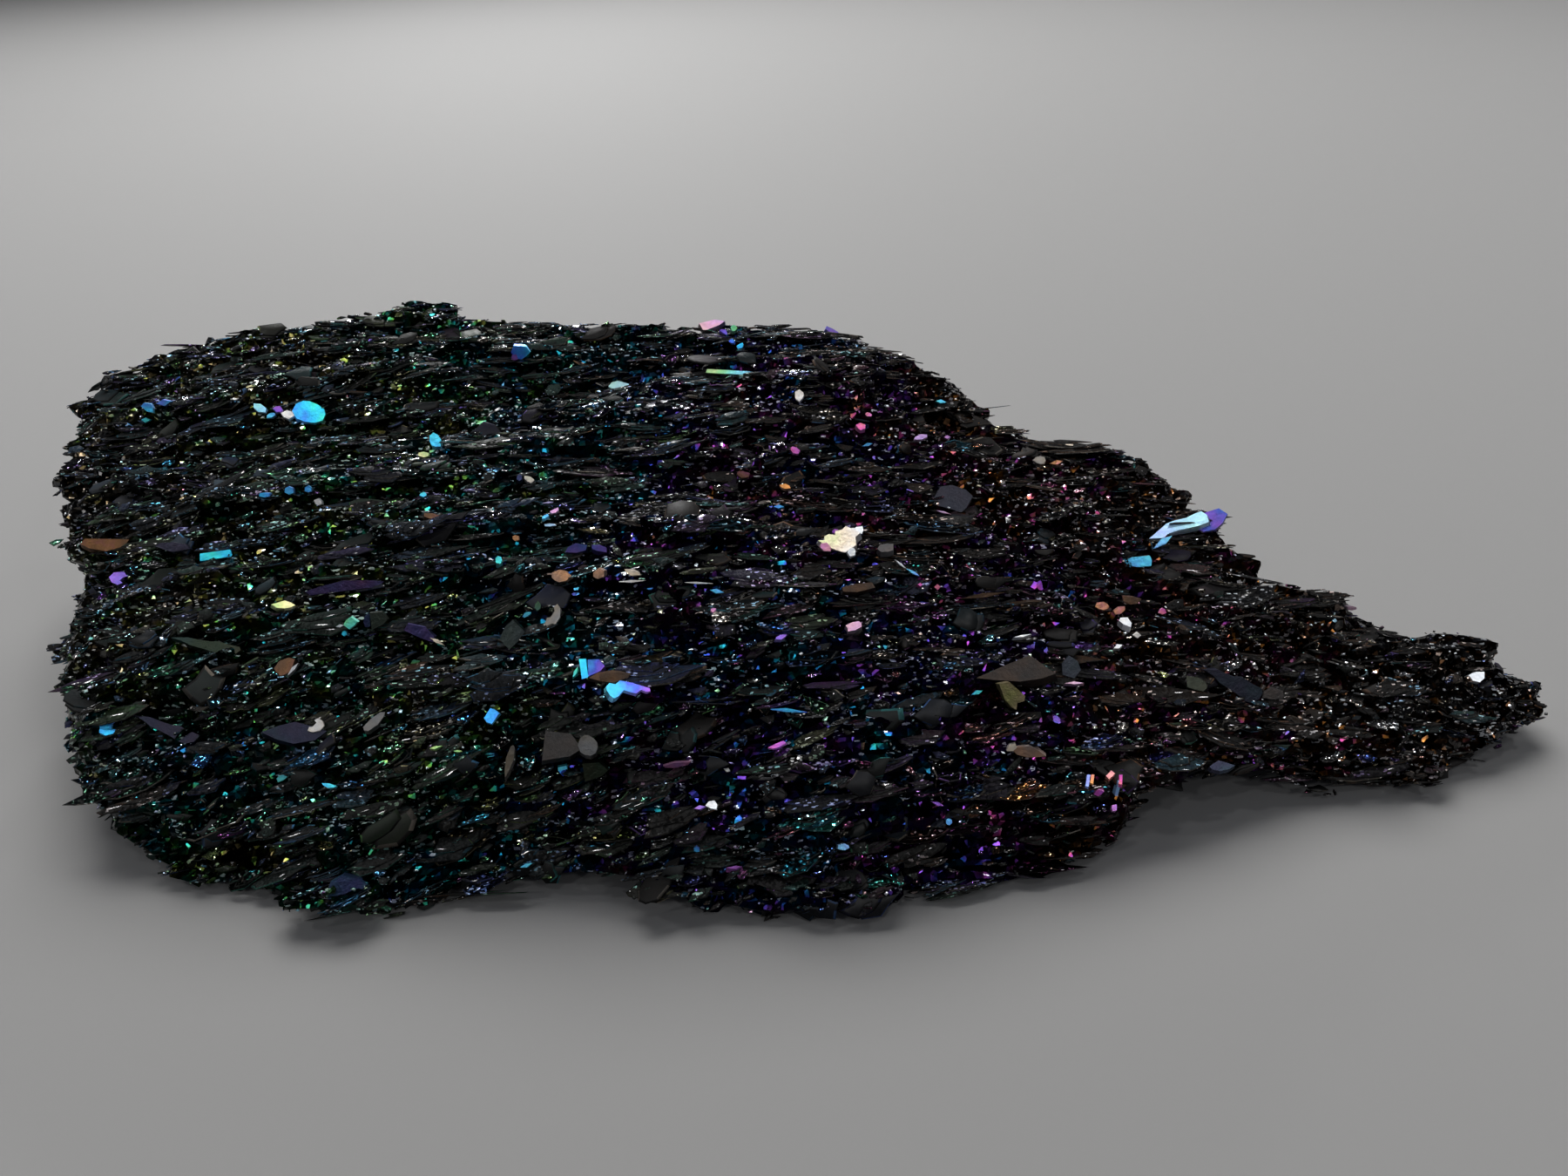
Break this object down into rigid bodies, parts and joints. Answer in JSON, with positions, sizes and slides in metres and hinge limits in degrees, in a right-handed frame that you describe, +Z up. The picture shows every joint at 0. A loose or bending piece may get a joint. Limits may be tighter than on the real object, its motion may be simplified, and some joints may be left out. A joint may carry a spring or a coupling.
{
  "type": "carborundum crystal cluster",
  "caption": "Dark iridescent crystal chunk of layered thin plates, blunt at one end and tapering to a thin tip at the other, resting on its rough underside as a display piece",
  "frame": {"origin": "middle of the bounding box in X and Y, at the level that the chunk rests on", "axes": "+X along the crystal plates, from the blunt end to the thin tapering end; +Y towards the high back edge, away from the steep front face; +Z up"},
  "size_m": [0.1012, 0.0524, 0.0197],
  "materials": {
    "crystal": "gloss"
  },
  "bodies": {
    "root": {"carborundum_chunk": "crystal"}
  },
  "joints": []
}
